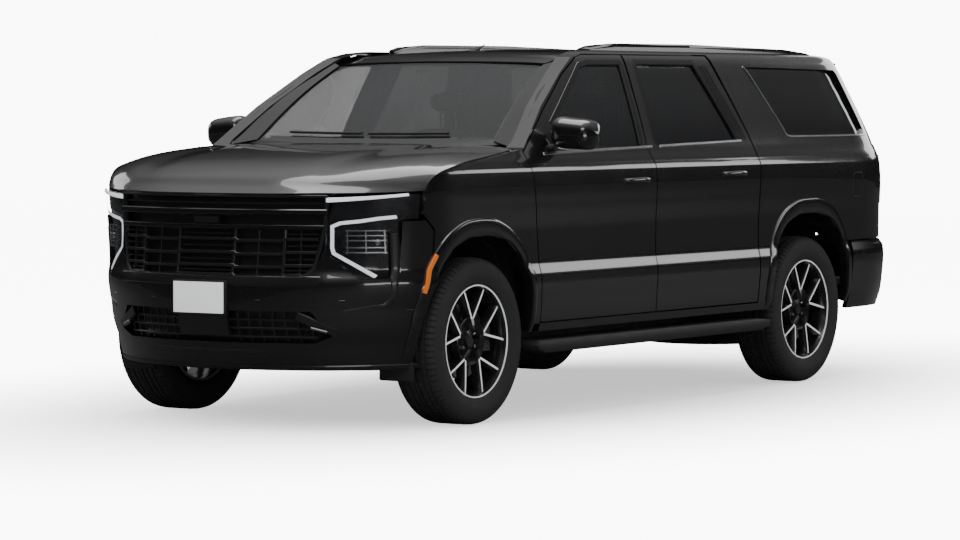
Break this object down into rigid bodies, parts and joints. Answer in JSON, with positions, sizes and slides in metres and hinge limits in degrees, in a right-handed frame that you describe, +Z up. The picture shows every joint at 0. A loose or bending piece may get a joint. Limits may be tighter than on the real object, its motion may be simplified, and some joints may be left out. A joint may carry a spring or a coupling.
{
  "type": "long-wheelbase suv",
  "caption": "Full-size long-body four-door sport utility vehicle with opening doors, hood and tailgate, steered front wheels and free-turning wheels.",
  "frame": {"origin": "centre of the footprint on the ground, midway between the bumpers", "axes": "+X forward, +Y to the left, +Z up"},
  "size_m": [5.73, 2.428, 1.9217],
  "materials": {
    "black_paint": "gloss black lacquer",
    "trim_plastic": "satin black moulded plastic",
    "dark_glass": "dark privacy glass",
    "clear_glass": "lightly tinted laminated glass",
    "lamp_lens": "clear lamp cover",
    "red_lens": "dark red lamp cover",
    "tyre_rubber": "treaded tyre rubber",
    "wheel_alloy": "gloss black alloy with bright turned edges",
    "frame_steel": "black chassis paint",
    "cast_metal": "cast metal",
    "bare_steel": "plain steel tube",
    "cabin_plastic": "grained black moulding",
    "seat_leather": "black perforated leather"
  },
  "bodies": {
    "body": {"chassis_frame": "frame_steel", "floor_pan": "frame_steel", "engine": "cast_metal", "cowl": "trim_plastic", "dashboard": "cabin_plastic", "front_fenders": "black_paint", "wheel_liners": "trim_plastic", "body_sides": "black_paint", "door_frames": "black_paint", "quarter_glass": "dark_glass", "roof": "black_paint", "windshield": "clear_glass", "front_bumper": "black_paint", "grille": "trim_plastic", "headlights": "lamp_lens", "tail_lights": "red_lens", "rear_bumper": "black_paint", "running_boards": "trim_plastic", "roof_rails": "trim_plastic", "front_suspension": "frame_steel", "rear_axle": "frame_steel", "driveshaft": "bare_steel", "exhaust": "bare_steel", "spare_wheel": "tyre_rubber", "front_seats": "seat_leather", "second_row_seats": "seat_leather", "third_row_seats": "seat_leather"},
    "hood": {"hood": "black_paint"},
    "front_left_door": {"front_left_door": "black_paint", "front_left_glass": "dark_glass", "left_mirror": "black_paint"},
    "front_right_door": {"front_right_door": "black_paint", "front_right_glass": "dark_glass", "right_mirror": "black_paint"},
    "rear_left_door": {"rear_left_door": "black_paint", "rear_left_glass": "dark_glass"},
    "rear_right_door": {"rear_right_door": "black_paint", "rear_right_glass": "dark_glass"},
    "tailgate": {"tailgate": "black_paint", "tailgate_glass": "dark_glass"},
    "left_knuckle": {"left_knuckle": "cast_metal"},
    "right_knuckle": {"right_knuckle": "cast_metal"},
    "front_left_wheel": {"front_left_tyre": "tyre_rubber", "front_left_rim": "wheel_alloy"},
    "front_right_wheel": {"front_right_tyre": "tyre_rubber", "front_right_rim": "wheel_alloy"},
    "rear_left_wheel": {"rear_left_tyre": "tyre_rubber", "rear_left_rim": "wheel_alloy"},
    "rear_right_wheel": {"rear_right_tyre": "tyre_rubber", "rear_right_rim": "wheel_alloy"},
    "steering_wheel": {"steering_wheel": "cabin_plastic"}
  },
  "joints": [
    {"name": "hood_hinge", "type": "hinge", "parent": "body", "child": "hood", "pos_m": [1.415, 0, 1.36], "axis": [0, -1, 0], "range_deg": [0, 50]},
    {"name": "front_left_door_hinge", "type": "hinge", "parent": "body", "child": "front_left_door", "pos_m": [1.41, 1.045, 0.9], "axis": [0, -0.0872, 0.9962], "range_deg": [-68, 0]},
    {"name": "front_right_door_hinge", "type": "hinge", "parent": "body", "child": "front_right_door", "pos_m": [1.41, -1.045, 0.9], "axis": [0, 0.0872, 0.9962], "range_deg": [0, 68]},
    {"name": "rear_left_door_hinge", "type": "hinge", "parent": "body", "child": "rear_left_door", "pos_m": [0.19, 1.045, 0.9], "axis": [0, -0.0872, 0.9962], "range_deg": [-70, 0]},
    {"name": "rear_right_door_hinge", "type": "hinge", "parent": "body", "child": "rear_right_door", "pos_m": [0.19, -1.045, 0.9], "axis": [0, 0.0872, 0.9962], "range_deg": [0, 70]},
    {"name": "tailgate_hinge", "type": "hinge", "parent": "body", "child": "tailgate", "pos_m": [-2.495, 0, 1.812], "axis": [0, 1, 0], "range_deg": [0, 80]},
    {"name": "left_steering", "type": "hinge", "parent": "body", "child": "left_knuckle", "pos_m": [1.883, 0.803, 0.417], "axis": [0, 0, 1], "range_deg": [-32, 32]},
    {"name": "right_steering", "type": "hinge", "parent": "body", "child": "right_knuckle", "pos_m": [1.883, -0.803, 0.417], "axis": [0, 0, 1], "range_deg": [-32, 32]},
    {"name": "front_left_wheel_spin", "type": "hinge", "parent": "left_knuckle", "child": "front_left_wheel", "pos_m": [1.883, 0.858, 0.417], "axis": [0, 1, 0], "continuous": true},
    {"name": "front_right_wheel_spin", "type": "hinge", "parent": "right_knuckle", "child": "front_right_wheel", "pos_m": [1.883, -0.858, 0.417], "axis": [0, 1, 0], "continuous": true},
    {"name": "rear_left_wheel_spin", "type": "hinge", "parent": "body", "child": "rear_left_wheel", "pos_m": [-1.523, 0.858, 0.417], "axis": [0, 1, 0], "continuous": true},
    {"name": "rear_right_wheel_spin", "type": "hinge", "parent": "body", "child": "rear_right_wheel", "pos_m": [-1.523, -0.858, 0.417], "axis": [0, 1, 0], "continuous": true},
    {"name": "steering_wheel_turn", "type": "hinge", "parent": "body", "child": "steering_wheel", "pos_m": [0.69, 0.41, 1.23], "axis": [-0.8829, 0, 0.4695], "range_deg": [-512, 512]}
  ],
  "couplings": [
    {"joint": "right_steering", "follows": "left_steering", "ratio": 1},
    {"joint": "steering_wheel_turn", "follows": "left_steering", "ratio": 16}
  ]
}
